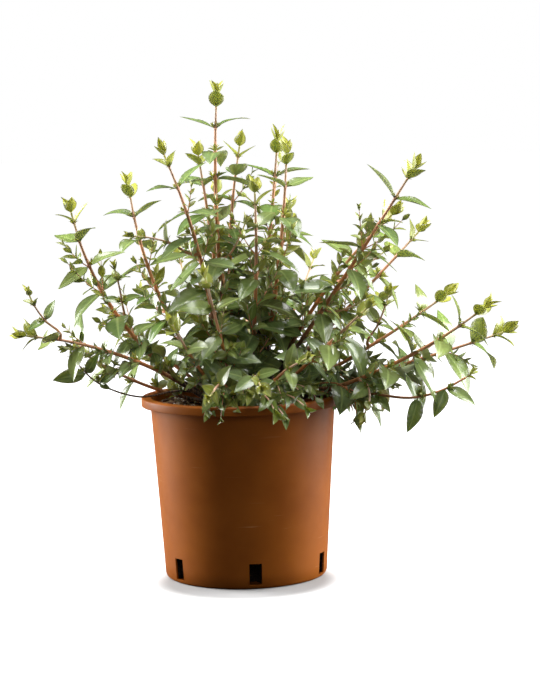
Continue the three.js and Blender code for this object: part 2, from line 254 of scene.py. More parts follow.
def compost():
    """Moist peat and bark compost, dried pale on top: matt, crumbly, mottled dark to straw. Low
    in the pot it is painted near black: painted shade for the hollows behind the drain slots."""
    made, tree = start_finish("compost", Roughness=0.95, IOR=1.4)
    place = add(tree, "TexCoord", out="Object")
    coarse = add(tree, "TexNoise", {"Vector": place, "Scale": 1 / (7 * MM), "Detail": 5.0})
    colour = add(tree, "ValToRGB", {"Fac": coarse}, stops={0.38: "#2b1c12", 0.62: "#745638"})
    fine = add(tree, "TexNoise", {"Vector": place, "Scale": 1 / (1.8 * MM), "Detail": 4.0})
    dry = add(tree, "MapRange", {"Value": fine, "From Min": 0.42, "From Max": 0.6})
    colour = add(tree, "Mix", {0: dry, 6: colour, 7: "#b79a76"}, out=2, data_type="RGBA")
    height = add(tree, "SeparateXYZ", {"Vector": place}, out="Z")
    # painted shade: below 60 mm the compost is darkened to near black, so the hollows behind the drain
    # slots look dark
    depths = {"From Min": 150 * MM, "From Max": 60 * MM, "To Max": 0.9}
    painted_slot_shade = add(tree, "MapRange", {"Value": height, **depths})
    colour = add(tree, "Mix", {0: painted_slot_shade, 6: colour, 7: "#080504"}, out=2, data_type="RGBA")
    return end_finish(made, colour, fine, 0.9 * MM)


def expanded_perlite():
    """Expanded perlite: a chalk-white foam of volcanic glass, matt and pitted."""
    made, tree = start_finish("expanded_perlite", Roughness=0.85)
    place = add(tree, "TexCoord", out="Object")
    pits = add(tree, "TexNoise", {"Vector": place, "Scale": 1 / (0.9 * MM)})
    colour = add(tree, "ValToRGB", {"Fac": pits}, stops={0.3: "#c2b8a4", 0.7: "#f1ede4"})
    return end_finish(made, colour, pits, 0.25 * MM)


def pine_bark():
    """Chipped pine bark: red-brown flakes with dark layers, matt."""
    made, tree = start_finish("pine_bark", Roughness=0.9)
    place = add(tree, "TexCoord", out="Object")
    flat = add(tree, "Mapping", {"Vector": place, "Scale": (1, 1, 4)})
    layers = add(tree, "TexNoise", {"Vector": flat, "Scale": 1 / (3 * MM), "Detail": 4.0})
    colour = add(tree, "ValToRGB", {"Fac": layers}, stops={0.35: "#1f100a", 0.65: "#6b3f26"})
    return end_finish(made, colour, layers, 0.3 * MM)


def straw_fibre():
    """Dry plant fibre from the compost: pale straw, matt."""
    made, tree = start_finish("straw_fibre", Roughness=0.8)
    place = add(tree, "TexCoord", out="Object")
    tone = add(tree, "TexNoise", {"Vector": place, "Scale": 1 / (6 * MM)})
    colour = add(tree, "ValToRGB", {"Fac": tone}, stops={0.35: "#8a6a45", 0.65: "#cdb48c"})
    return end_finish(made, colour)


def old_bark():
    """The crown's old bark: grey-brown to near black, matt, cracked from top to bottom."""
    made, tree = start_finish("old_bark", Roughness=0.88)
    place = add(tree, "TexCoord", out="Object")
    upright = add(tree, "Mapping", {"Vector": place, "Scale": (1, 1, 0.3)})
    cracks = add(tree, "TexNoise", {"Vector": upright, "Scale": 1 / (4 * MM), "Detail": 5.0})
    colour = add(tree, "ValToRGB", {"Fac": cracks}, stops={0.36: "#1d130d", 0.6: "#6a4a34"})
    return end_finish(made, colour, cracks, 0.8 * MM)


def young_bark():
    """Bark that ages down the stem: yellow-green to pink at the tip, then coppery, and near
    black at the foot, with fine streaks along it and a satin skin that dulls as it ages."""
    made, tree = start_finish("young_bark", IOR=1.45)
    age = add(tree, "Attribute", out="Fac", attribute_name="age")
    years = {
        0.0: "#c6c484",
        0.06: "#dcb49c",
        0.16: "#e0a27c",
        0.38: "#db8a4e",
        0.6: "#986339",
        0.85: "#30231a",
    }
    colour = add(tree, "ValToRGB", {"Fac": age}, stops=years)
    place = add(tree, "TexCoord", out="Object")
    upright = add(tree, "Mapping", {"Vector": place, "Scale": (1, 1, 0.2)})
    streaks = add(tree, "TexNoise", {"Vector": upright, "Scale": 1 / (1.6 * MM), "Detail": 3.0})
    pale = add(tree, "MapRange", {"Value": streaks, "From Min": 0.45, "From Max": 0.75, "To Max": 0.4})
    colour = add(tree, "Mix", {0: pale, 6: colour, 7: "#dcae8a"}, out=2, data_type="RGBA")
    dull = add(tree, "MapRange", {"Value": age, "To Min": 0.36, "To Max": 0.7})
    return end_finish(made, colour, streaks, 0.12 * MM, Roughness=dull)


def waxy_leaf():
    """Abelia leaf: waxy and glossy above, paler and duller below, and thin enough to glow when
    light falls on its other side. It unfolds yellow-green and darkens as it ages, and some are
    lush or bronze by their tone. The midrib is pale, the margin is dark, and seven pairs of side
    veins are sunk a little."""
    made, tree = start_finish(
        "waxy_leaf",
        IOR=1.55,
        Subsurface_Weight=0.15,
        Subsurface_Radius=(1.0, 1.0, 0.4),
        Subsurface_Scale=1.5 * MM,
    )
    age, tone, along, across, under = [
        add(tree, "Attribute", out="Fac", attribute_name=key) for key in CARRIED
    ]
    ages = {0.0: "#c4c45c", 0.2: "#9a9e43", 0.4: "#8f954a", 0.66: "#8e9c53", 1.0: "#768a55"}
    colour = add(tree, "ValToRGB", {"Fac": age}, stops=ages)
    lush = add(tree, "MapRange", {"Value": tone, "From Min": 0.1, "From Max": 0.9, "To Max": 0.7})
    bronze = add(tree, "MapRange", {"Value": tone, "From Min": -0.5, "From Max": -1.0, "To Max": 0.6})
    place = add(tree, "TexCoord", out="Object")
    mottle = add(tree, "TexNoise", {"Vector": place, "Scale": 1 / (14 * MM), "Detail": 2.0})
    mottle = add(tree, "MapRange", {"Value": mottle, "From Min": 0.4, "From Max": 0.7, "To Max": 0.35})
    off = add(tree, "Math", {0: across}, operation="ABSOLUTE")
    slant = add(tree, "Math", {0: off, 1: -0.16, 2: along}, operation="MULTIPLY_ADD")
    waves = add(tree, "Math", {0: slant, 1: 2 * math.pi * VEIN_PAIRS}, operation="MULTIPLY")
    waves = add(tree, "Math", {0: waves}, operation="SINE")
    veins = add(tree, "MapRange", {"Value": waves, "From Min": 0.7, "From Max": 1.0, "To Max": 0.25})
    below = add(tree, "Math", {0: under, 1: 0.51}, operation="GREATER_THAN")
    lush, mottle, veins, pale = [  # these four grow with age
        add(tree, "Math", {0: share, 1: age}, operation="MULTIPLY")
        for share in (lush, mottle, veins, below)
    ]
    pale = add(tree, "Math", {0: pale, 1: 0.6}, operation="MULTIPLY")
    midrib = add(tree, "MapRange", {"Value": off, "From Min": 0.16, "From Max": 0.04, "To Max": 0.6})
    margin = add(tree, "MapRange", {"Value": off, "From Min": 0.7, "From Max": 0.95, "To Max": 0.55})
    tints = (
        (lush, "#6b8f38"),
        (bronze, "#4c4220"),
        (mottle, "#2c4418"),
        (veins, "#8aa862"),
        (midrib, "#a9bd72"),
        (margin, "#4c4e24"),
        (pale, "#a3a996"),
    )
    for share, tint in tints:
        colour = add(tree, "Mix", {0: share, 6: colour, 7: tint}, out=2, data_type="RGBA")
    dull = add(tree, "MapRange", {"Value": below, "To Min": 0.22, "To Max": 0.5})
    sunk = add(tree, "Math", {0: veins, 1: midrib}, operation="MAXIMUM")
    raised = add(tree, "Math", {0: 1.0, 1: sunk}, operation="SUBTRACT")
    return end_finish(made, colour, raised, 0.08 * MM, Roughness=dull)


# ---------------------------------------------------------------- pot
POT_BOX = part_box("pot")
RIM_RADIUS, POT_HEIGHT = POT_BOX[1].x, POT_BOX[1].z
RIM_DROP = 8 * MM  # how far the rim's edge is turned down
WALL, FLOOR = 1.6 * MM, 2.4 * MM  # how thick they are
BASE_RADIUS, NECK_RADIUS = 76 * MM, 86.5 * MM  # outside, at the foot and under the rim
SLOT_COUNT, SLOT_WIDTH, SLOT_LOW, SLOT_TALL = 6, 11.5 * MM, 3.8 * MM, 20 * MM
SLOT_FIRST = math.radians(-83)
LEAF_GAP = 0.8 * MM  # between the pot and the leaves that lie on it
RIM_DEPTH, WALL_DEPTH = 3 * MM, 4 * MM  # a leaf's points further in than these stay inside


def wall_radius(height):
    """The pot's outside radius at a height: straight from the base to the neck."""
    return BASE_RADIUS + (NECK_RADIUS - BASE_RADIUS) * height / (POT_HEIGHT - RIM_DROP)


def slot_angles():
    """The middle angle of each drain slot."""
    return SLOT_FIRST + round_angles(SLOT_COUNT)


def from_slots(angles):
    """How far each angle is from the middle of the nearest drain slot."""
    away = (angles[..., None] - slot_angles() + np.pi) % (2 * np.pi) - np.pi
    return np.abs(away).min(-1)


def pot_angles():
    """Angles round the pot, evenly spread but with a column on each slot's two edges."""
    half = SLOT_WIDTH / 2 / BASE_RADIUS
    edges = slot_angles()[:, None] + half * np.array([-1, -0.5, 0, 0.5, 1])
    gap = 2 * np.pi / SLOT_COUNT - 2 * half
    between = slot_angles()[:, None] + half + gap * np.arange(1, 24) / 24
    return np.sort(np.concatenate([edges.ravel(), between.ravel()]) % (2 * np.pi))


def pot_profile():
    """The pot's section from the middle of its underside, round the foot, up the wall, over the
    rounded rim and down the inside to the middle of its floor."""
    foot, lip, edge = 3.5 * MM, 1.5 * MM, 0.7 * MM  # radii of the rounded corners
    slot_rows = [SLOT_LOW, SLOT_LOW + SLOT_TALL / 2, SLOT_LOW + SLOT_TALL]
    rise = np.array([*slot_rows, 45 * MM, 90 * MM, 130 * MM])
    outer = np.stack([wall_radius(rise), rise], -1)
    inner = outer[::-1] - [WALL, 0]
    under, rim_low = POT_HEIGHT - WALL, POT_HEIGHT - RIM_DROP
    base = [[0, 0], [30 * MM, 0], [60 * MM, 0]]
    rim = [
        [wall_radius(under - 2 * edge), under - 2 * edge],
        *arc((wall_radius(under) + edge, under - edge), edge, 180, 90, 4),
        *arc((RIM_RADIUS - WALL - edge, under - edge), edge, 90, 0, 4),
        *arc((RIM_RADIUS - WALL + edge, rim_low + edge), edge, 180, 270, 4),
        *arc((RIM_RADIUS - edge, rim_low + edge), edge, 270, 360, 4)[1:],
        *arc((RIM_RADIUS - lip, POT_HEIGHT - lip), lip, 0, 90, 6),
        *arc((wall_radius(POT_HEIGHT) - WALL + lip, POT_HEIGHT - lip), lip, 90, 180, 5),
    ]
    inside = [[wall_radius(FLOOR) - WALL, FLOOR + edge], [wall_radius(FLOOR) - WALL - edge, FLOOR]]
    middle = [[40 * MM, FLOOR], [0, FLOOR]]
    corner = arc((BASE_RADIUS - foot, foot), foot, -90, 0, 6)
    corner[-1, 1] -= 0.1 * MM  # leaves more room under the slots
    return np.array([*base, *corner, *outer, *rim, *inner, *inside, *middle])


def cut_slots(faces, heights, angles):
    """A turned wall's faces without those in the drain slots, and with the four reveals of each
    slot, which close it between the outer and the inner wall."""
    sides = len(angles)
    middle = (angles + np.roll(angles, -1)) / 2
    middle[-1] = (angles[-1] + angles[0] + 2 * np.pi) / 2
    open_column = from_slots(middle) < SLOT_WIDTH / 2 / BASE_RADIUS
    low, high = SLOT_LOW - 0.01 * MM, SLOT_LOW + SLOT_TALL + 0.01 * MM
    inside = (heights > low) & (heights < high)
    open_row = inside[:-1] & inside[1:]
    cut = (open_row[:, None] & open_column).ravel()
    walls = [face for face, hole in zip(faces, cut) if not hole] + faces[len(cut) :]
    rows, columns = np.flatnonzero(inside), np.flatnonzero(open_column)
    outer, inner = rows[: len(rows) // 2], rows[len(rows) // 2 :][::-1]
    index = np.arange(len(heights) * sides).reshape(-1, sides)
    here, after = index[:, columns], np.roll(index, -1, 1)[:, columns]
    sill = [here[outer[0]], after[outer[0]], after[inner[0]], here[inner[0]]]
    head = [here[outer[-1]], here[inner[-1]], after[inner[-1]], after[outer[-1]]]
    first = columns[~open_column[columns - 1]]
    last = (columns[~np.roll(open_column, -1)[columns]] + 1) % sides
    left = [index[np.ix_(r, first)].ravel() for r in (outer[:-1], inner[:-1], inner[1:], outer[1:])]
    right = [index[np.ix_(r, last)].ravel() for r in (outer[:-1], outer[1:], inner[1:], inner[:-1])]
    for reveal in (sill, head, left, right):
        walls += np.stack(reveal, -1).tolist()
    return walls


def pot():
    """The pot as one turned shell, with its drain slots cut through the wall."""
    profile, angles = pot_profile(), pot_angles()
    points, faces = shells(*turned(profile, angles))
    walls = cut_slots(faces, profile[1:-1, 1], angles)
    piece("nursery_pot", [(points, walls, moulded_polypropylene())], ["pot"])


# ---------------------------------------------------------------- soil and what lies on it
SOIL_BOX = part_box("potting_soil")
SOIL_LOW, SOIL_TOP = SOIL_BOX[0].z, SOIL_BOX[1].z
SOIL_RADIUS = SOIL_BOX[1].x
CROWN_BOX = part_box("crown")
CROWN_RADIUS, CROWN_TOP = CROWN_BOX[1].x, CROWN_BOX[1].z


def soil_height(points):
    """How far the soil's surface stands over its level: soft lumps and fine crumbs, never above
    1.5 mm, a dip to the pot's wall, and a heap swept up against the wall on the left."""
    distance, level = np.hypot(points[..., 0], points[..., 1]), points * [1, 1, 0]
    lumps, crumbs = 1.1 * MM * ripple(level, 26 * MM, 3), 0.5 * MM * ripple(level, 7 * MM, 4)
    dip = 2.2 * MM * ease(distance, SOIL_RADIUS - 14 * MM, SOIL_RADIUS)
    heap = 9 * MM * ease(-points[..., 0], 42 * MM, 66 * MM)
    return np.minimum(lumps + crumbs - 1.4 * MM - dip, 1.5 * MM) + heap


def soil():
    """The fill of the pot: a turned body with a lumpy top, washed back behind the drain slots."""
    low_radius = wall_radius(SOIL_LOW) - WALL - 0.6 * MM
    foot, edge = [low_radius, SOIL_LOW], [SOIL_RADIUS, SOIL_TOP]
    side = np.linspace(0, 1, 24)[:, None] * np.subtract(edge, foot) + foot
    top = np.stack([np.linspace(SOIL_RADIUS, 0, 44)[1:], np.full(43, SOIL_TOP)], -1)
    profile = np.concatenate([[[0, SOIL_LOW], [low_radius / 2, SOIL_LOW]], side, top])

    def lift(points):
        """The lumps on the top, and up to 20 mm inwards behind the slots."""
        surface = ease(points[..., 2], SOIL_TOP - 6 * MM, SOIL_TOP)
        angle = np.arctan2(points[..., 1], points[..., 0])
        beside, above = ease(from_slots(angle), 0.06, 0.16), ease(points[..., 2], 24 * MM, 32 * MM)
        outward = ease(np.hypot(points[..., 0], points[..., 1]), 40 * MM, low_radius)
        back = -20 * MM * ((1 - beside) * (1 - above)) * outward
        return np.stack([back * np.cos(angle), back * np.sin(angle), surface * soil_height(points)], -1)

    points, faces = shells(*turned(profile, round_angles(140), lift))
    piece("compost_fill", [(points, faces, compost())], ["potting_soil"], sharp=70)


def soil_spots(dice, count):
    """Places strewn evenly over the soil between the crown and the pot's wall."""
    near, far = CROWN_RADIUS + 1 * MM, SOIL_RADIUS - 4 * MM
    distance = np.sqrt(dice.uniform(near**2, far**2, count))
    angle = dice.uniform(0, 2 * np.pi, count)
    spots = np.stack([distance * np.cos(angle), distance * np.sin(angle), np.zeros(count)], -1)
    spots[:, 2] = SOIL_TOP + soil_height(spots)
    return spots


def grains(dice, count, size, flatness):
    """Rounded lumps: latitude rings of a sphere, each point pushed in or out at random, then
    stretched, tilted, turned about +Z and laid on the soil, a little sunk."""
    rows, sides = 4, 7
    turn = round_angles(sides)
    lat = np.pi * np.arange(1, rows + 1)[:, None] / (rows + 1)
    level = np.broadcast_to(-np.cos(lat), (rows, sides))
    ball = np.stack([np.sin(lat) * np.cos(turn), np.sin(lat) * np.sin(turn), level], -1)
    rough = ball * dice.uniform(0.78, 1.15, (count, rows, sides, 1))
    radii = dice.uniform(0.5, 1, (count, 1, 1, 1)) * size / 2 * dice.uniform(0.7, 1.2, (count, 1, 1, 3))
    shaped = rough * radii * [1, 0.75, flatness]
    pole = UP * radii[:, 0, 0] * flatness
    spin, tilt = dice.uniform(0, 2 * np.pi, count), dice.uniform(-0.5, 0.5, count)
    zero, one = np.zeros(count), np.ones(count)
    cosine, sine = np.cos(spin), np.sin(spin)
    about_z = np.array([[cosine, -sine, zero], [sine, cosine, zero], [zero, zero, one]])
    cosine, sine = np.cos(tilt), np.sin(tilt)
    about_x = np.array([[one, zero, zero], [zero, cosine, -sine], [zero, sine, cosine]])
    turning = about_z.transpose(2, 0, 1) @ about_x.transpose(2, 0, 1)
    spots = soil_spots(dice, count) + 0.12 * size * UP
    rings = np.einsum("nij,nrsj->nrsi", turning, shaped) + spots[:, None, None]
    ends = np.einsum("nij,nj->ni", turning, pole)
    return shells(rings, spots - ends, spots + ends)


def fibres(dice, count):
    """Loose fibres: three-sided tubes along short level bows on the soil."""
    start = soil_spots(dice, count)
    way, length = dice.uniform(0, 2 * np.pi, count), dice.uniform(5, 16, count) * MM
    bend, share = dice.uniform(-1.6, 1.6, count), np.linspace(0, 1, 7)
    heading = way[:, None] + bend[:, None] * share
    ahead = np.stack([np.cos(heading), np.sin(heading), np.zeros_like(heading)], -1)
    path = start[:, None] + np.cumsum(ahead * length[:, None, None] / (len(share) - 1), 1)
    reach = np.hypot(path[..., 0], path[..., 1])
    kept = (reach.max(1) < SOIL_RADIUS - 2 * MM) & (reach.min(1) > CROWN_RADIUS)
    path, heading = path[kept], heading[kept]
    path[..., 2] = SOIL_TOP + soil_height(path) + 0.35 * MM + 0.8 * MM * np.sin(np.pi * share)
    across = np.stack([-np.sin(heading), np.cos(heading), np.zeros_like(heading)], -1)
    turn = round_angles(3)
    circle = across[:, :, None] * np.cos(turn)[:, None] + UP * np.sin(turn)[:, None]
    return shells(path[:, :, None] + 0.28 * MM * circle)


def strewn():
    """Perlite grains, bark chips and fibres on top of the soil."""
    dice = np.random.default_rng(5)
    points, faces = grains(dice, count=260, size=3.6 * MM, flatness=0.8)
    piece("perlite_grains", [(points, faces, expanded_perlite())], sharp=60)
    points, faces = grains(dice, count=190, size=9 * MM, flatness=0.28)
    piece("bark_chips", [(points, faces, pine_bark())], sharp=35)
    points, faces = fibres(dice, count=420)
    piece("straw_fibres", [(points, faces, straw_fibre())])


# ---------------------------------------------------------------- crown
def crown():
    """The woody crown: a dome of fused, lumpy cane bases on a root stock inside the soil."""
    foot, room = CROWN_BOX[0].z, 1 * MM  # room for the lumps
    stock = [
        [0, foot],
        [5 * MM, foot + 1 * MM],
        [9 * MM, SOIL_TOP - 18 * MM],
        [24 * MM, SOIL_TOP - 7 * MM],
    ]
    quarter = arc((0, 0), 1.0, 0, 90, 16)
    dome = quarter * [CROWN_RADIUS - room, CROWN_TOP - SOIL_TOP - room] + [0, SOIL_TOP]

    def lift(points):
        """Lumps of two sizes, outwards from a middle 10 mm down in the soil."""
        lumps = 1.3 * MM * ripple(points, 11 * MM, 21) + 0.5 * MM * ripple(points, 4 * MM, 22)
        out = unit(points * [1, 1, 1.6] - [0, 0, 1.6 * (SOIL_TOP - 10 * MM)])
        return out * (lumps - 0.6 * MM)[..., None]

    points, faces = shells(*turned(np.concatenate([stock, dome]), round_angles(72), lift))
    piece("woody_crown", [(points, faces, old_bark())], ["crown"], sharp=80)


# ---------------------------------------------------------------- reading the CAD canes
WIDEST = 0.38  # where a CAD kite is widest, as a share of its length
KEEL = 1.1 * MM  # how far its midrib lies under its two side corners
KITE_SHAPE, KITE_SLACK = 0.691, 0.009  # its third edge as a share of the two equal ones
LEAST_EDGE = 5 * MM
PAIR_GAP = 1 * MM  # leaves closer than this along the stem are a pair
FOOT_BAND = 3.5 * MM  # the stretch of a stem whose corners give its foot


def triangles(node):
    """The corners of a CAD node's triangles, shaped (triangles, 3, 3)."""
    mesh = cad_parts[node].data
    places = np.empty(len(mesh.vertices) * 3, np.float32)
    mesh.vertices.foreach_get("co", places)
    corners = np.empty(len(mesh.loops), np.int32)
    mesh.loops.foreach_get("vertex_index", corners)
    return places.reshape(-1, 3)[corners].reshape(-1, 3, 3).astype(float)


def kites(node):
    """The node's leaves, from the upper triangle of each kite: tip and two side corners. It is
    known by its shape: two equal edges, and a third that is 0.68 to 0.70 of them. The midrib's
    foot under the side corners lies KEEL below them, and the leaf's base further back on it."""
    found = triangles(node)
    found = np.concatenate([np.roll(found, turn, 1) for turn in range(3)])
    tip, left, right = found[:, 0], found[:, 1], found[:, 2]
    sides = np.linalg.norm(found[:, 1:] - tip[:, None], axis=-1)
    width = np.linalg.norm(left - right, axis=-1)
    even = np.abs(sides[:, 0] - sides[:, 1]) < 0.002 * sides[:, 0]
    like = np.abs(width / sides[:, 0] - KITE_SHAPE) < KITE_SLACK
    kept = even & like & (sides[:, 0] > LEAST_EDGE)
    tip, left, right = tip[kept], left[kept], right[kept]
    middle = (left + right) / 2
    upper = unit(np.cross(left - tip, right - tip))
    reach = np.linalg.norm(tip - middle, axis=-1, keepdims=True)
    lean = KEEL / reach
    foot = middle + KEEL * (lean * (tip - middle) / reach - np.sqrt(1 - lean**2) * upper)
    way = unit(tip - foot)
    length = np.linalg.norm(tip - foot, axis=-1) / (1 - WIDEST)
    return tip - way * length[:, None], way, unit(middle - foot), length


def smooth_path(knots, places):
    """Points on a smooth curve through knots, at distances counted along their chords: cubic
    Hermite stretches whose slope at a knot is its central difference."""
    at = along_chords(knots)
    slope = np.gradient(knots, at, axis=0)
    i = np.clip(np.searchsorted(at, places, side="right") - 1, 0, len(at) - 2)
    span = (at[i + 1] - at[i])[:, None]
    t = (places - at[i])[:, None] / span
    before = (2 * t**3 - 3 * t**2 + 1) * knots[i] + (t**3 - 2 * t**2 + t) * span * slope[i]
    after = (3 * t**2 - 2 * t**3) * knots[i + 1] + (t**3 - t**2) * span * slope[i + 1]
    return before + after


class Stem:
    """One CAD cane or shoot: its leaves, the knots of its centreline from foot to tip, and each
    leaf's order, which is 0 for the pair at the tip and counts down the stem."""

    def __init__(self, node):
        self.node = node
        self.base, self.way, self.face, self.length = kites(node)
        spread = self.base - self.base.mean(0)
        axis = np.linalg.svd(spread)[2][0]
        height = self.base @ axis
        if self.length[height.argmin()] < self.length[height.argmax()]:
            axis, height = -axis, -height
        ranks = np.argsort(-height)
        steps = np.concatenate([[0], -np.diff(height[ranks]) > PAIR_GAP])
        self.order = np.empty(len(ranks), int)
        self.order[ranks] = np.cumsum(steps)
        pairs = [self.base[self.order == k].mean(0) for k in range(self.order.max() + 1)]
        corners = triangles(node).reshape(-1, 3)
        reach = corners @ axis
        foot = corners[reach < reach.min() + FOOT_BAND].mean(0)
        self.knots = np.array([foot, *pairs[::-1]])

    def root_in(self, point):
        """Carries the stem's foot on to a point of what it grows from."""
        self.knots = np.concatenate([[point], self.knots])


def stems():
    """Every stem. A cane's foot is sunk 3 mm into the crown, and a shoot's foot is carried on to
    the nearest point of a cane."""
    names = sorted(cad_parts)
    canes = [Stem(name) for name in names if name.startswith("cane_")]
    shoots = [Stem(name) for name in names if name.startswith("shoot_")]
    for cane in canes:
        start = cane.knots[0]
        cane.root_in(start - unit(cane.knots[1] - start) * 3 * MM)
    lines = [smooth_path(c.knots, np.arange(0, along_chords(c.knots)[-1], MM)) for c in canes]
    lines = np.concatenate(lines)
    for shoot in shoots:
        shoot.root_in(lines[np.linalg.norm(lines - shoot.knots[0], axis=1).argmin()])
    return canes + shoots


# ---------------------------------------------------------------- leaves
ACROSS = np.array([-1, -0.5, 0, 0.5, 1, 0.5, 0, -0.5])  # round a blade's section, edge to edge
SKIN = np.array([0, 1, 1, 1, 0, -1, -1, -1])  # 1 on the upper skin, -1 on the lower
DAYLIGHT = np.array([0, -1, 0.3])  # where the plant's light came from as it grew
WHOLE_LEAF = np.array([0, 0.05, 0.1, 0.17, 0.26, 0.37, 0.49, 0.62, 0.75, 0.87, 0.95])
YOUNG_LEAF = np.array([0, 0.12, 0.28, 0.48, 0.72, 0.9])
STALK = 0.07  # the share of a leaf's length that is its stalk
OUTLINE_PEAK = 0.3316  # the greatest value of t^0.6 (1 - t)^1.1
TIP_LEAN = 0.36  # how far a spray's leaves lean out at its tip, over how far at its foot


def leaf(base, way, face, length, **looks):
    """Leaves with their looks: width, arch (how far the blade turns down, in radians), fold (how
    far its halves rise), age and tone. A look is one number for all of them or one for each."""
    kept = dict(base=base, way=way, face=face, length=length)
    for key, value in looks.items():
        kept[key] = np.broadcast_to(value, len(base))
    return kept


def clear_of_pot(points):
    """Moves points out of the rim, up or outwards by the shorter way, and out of the wall below
    it, so that leaves lie over the pot and don't cut it."""
    radius, height = np.hypot(points[..., 0], points[..., 1]), points[..., 2]
    up, out = POT_HEIGHT + LEAF_GAP - height, RIM_RADIUS + LEAF_GAP - radius
    beside = wall_radius(np.minimum(height, POT_HEIGHT)) + LEAF_GAP - radius
    level = height > POT_HEIGHT - RIM_DROP - LEAF_GAP
    in_rim = level & (up > 0) & (out > 0) & (radius > NECK_RADIUS - RIM_DEPTH)
    in_wall = ~level & (height > 0) & (beside > 0) & (beside < WALL_DEPTH)
    push = np.where(in_rim & (out < up), out, 0) + np.where(in_wall, beside, 0)
    lift = np.where(in_rim & (up <= out), up, 0)
    grow = 1 + push / radius
    return points * np.stack([grow, grow, np.ones_like(radius)], -1) + lift[..., None] * UP


def blades(leaves, rows, dice):
    """Leaf blades. Along the blade the midrib turns steadily downwards, so it is a circle's arc.
    Its half width is t^0.6 (1 - t)^1.1 past the stalk, which draws the tip out. Each half rises
    from the midrib by its fold and rounds over, the edges wave once or twice, and the section
    is a thin lens. The whole blade winds a little about its midrib, and is moved clear of the
    pot."""
    count, t = len(leaves["length"]), rows
    length = leaves["length"][:, None]
    wave, phase, wind = dice.uniform(0.2, 1, (3, count, 1)) * [[[0.02]], [[6.3]], [[0.7]]]
    wind = (wind - 0.42) * (t - 0.1)
    angle = leaves["arch"][:, None] * (0.5 - t)
    middle = leaves["arch"][:, None] * (0.5 - (t[1:] + t[:-1]) / 2)
    steps = np.stack([np.cos(middle), np.sin(middle)]) * np.diff(t)
    ahead, above = np.concatenate([np.zeros((2, count, 1)), np.cumsum(steps, 2)], 2) * length
    way, face = leaves["way"][:, None], leaves["face"][:, None]
    spine = leaves["base"][:, None] + ahead[..., None] * way + above[..., None] * face
    lift = np.cos(angle)[..., None] * face - np.sin(angle)[..., None] * way
    side = np.cross(way, face)
    side, lift = (
        np.cos(wind)[..., None] * side + np.sin(wind)[..., None] * lift,
        np.cos(wind)[..., None] * lift - np.sin(wind)[..., None] * side,
    )
    s = np.clip((t - STALK) / (1 - STALK), 0, 1)
    outline = s**0.6 * (1 - s) ** 1.1 / OUTLINE_PEAK
    half = np.maximum(leaves["width"][:, None] / 2 * outline, 0.5 * MM * (1 - t) ** 2)
    off = np.abs(ACROSS)
    raised = leaves["fold"][:, None, None] * half[..., None] * (1.3 * off - 0.45 * off**2)
    raised = raised + wave[..., None] * half[..., None] * 4 * off**2 * np.sin(9 * t + phase)[..., None]
    thick = (0.13 + 0.35 * (1 - ease(t, 0, 0.14)))[:, None] * MM * (1 - 0.7 * off**2)
    y = half[..., None] * ACROSS
    places = spine[:, :, None] + y[..., None] * side[:, :, None] + raised[..., None] * lift[:, :, None]
    places = clear_of_pot(places) + (thick * SKIN)[..., None] * lift[:, :, None]
    values = np.empty(places.shape[:-1] + (len(CARRIED),))
    values[..., 0] = leaves["age"][:, None, None]
    values[..., 1] = leaves["tone"][:, None, None]
    values[..., 2] = t[:, None]
    values[..., 3] = ACROSS
    values[..., 4] = 0.5 - SKIN / 2
    last = length[:, 0, None] * (1 - t[-1])
    reach = np.cos(angle[:, -1:]) * way[:, 0] + np.sin(angle[:, -1:]) * face[:, 0]
    ends = np.concatenate([clear_of_pot(spine[:, -1] + last * reach), values[:, -1, 2]], -1)
    return shells(np.concatenate([places, values], -1), end=ends)


# ---------------------------------------------------------------- the shrub
def random_tone(dice, count):
    """How lush (over 0) or bronze (under 0) each leaf is, between 1 and -1."""
    return np.clip(dice.normal(0, 0.45, count), -1, 1)


def sprays(dice, origin, way, reach, pairs, size, age, **habit):
    """Small shoots, and their leaves. Each runs from its origin to reach, bending up by rise or
    hanging, with its pairs of leaves evenly along it, each pair a quarter turn on from the last.
    Leaves lean out by spread at the foot and a third of it at the tip, where they are also
    smaller, by taper, and younger, and sag turns them down. Returns the twigs' centrelines and
    the leaves."""
    habit = dict(spread=1.0, width=0.46, fold=0.35, arch=0.45, rise=0.3, taper=0.4, sag=0.0) | habit
    count = len(origin)
    bend = (habit["rise"] * reach)[:, None, None] * UP
    at = (np.arange(pairs) + 1) / pairs
    paths, seats = [
        origin[:, None] + (reach[:, None] * t)[..., None] * way[:, None] + t[:, None] ** 2 * bend
        for t in (np.linspace(0, 1, 6), at)
    ]
    low = np.linspace(1, 0, pairs)
    side = square_to(dice.normal(size=way.shape), way)
    turn = np.pi / 2 * np.arange(pairs) + dice.uniform(0, 0.6, (count, 1))
    square = np.cross(way, side)[:, None]
    out = np.cos(turn)[..., None] * side[:, None] + np.sin(turn)[..., None] * square
    ahead = unit(way[:, None] * reach[:, None, None] + 1.4 * at[:, None] * bend)[:, :, None]
    out = square_to(np.stack([out, -out], 2), ahead)
    lean = habit["spread"] * (TIP_LEAN + (1 - TIP_LEAN) * low)[:, None]
    lean = lean * dice.uniform(0.75, 1.2, (count, pairs, 2))
    blade = unit(np.cos(lean)[..., None] * ahead + np.sin(lean)[..., None] * out - habit["sag"] * UP)
    face = square_to(ahead - out, blade)
    vary = dice.uniform(0.85, 1.1, (count, pairs, 2))
    length = size[:, None, None] * (1 - habit["taper"] * (1 - low))[:, None] * vary
    years = age[:, None, None] * (1 + 0.45 * low)[:, None] * np.ones_like(length)
    total = length.size
    return paths, leaf(
        np.repeat(seats, 2, 1).reshape(total, 3),
        blade.reshape(total, 3),
        face.reshape(total, 3),
        length.ravel(),
        width=length.ravel() * habit["width"] * dice.uniform(0.85, 1.15, total),
        arch=habit["arch"] * dice.uniform(0.3, 1.7, total),
        fold=habit["fold"] * dice.uniform(0.6, 1.4, total),
        age=np.clip(years.ravel(), 0, 1),
        tone=random_tone(dice, total),
    )


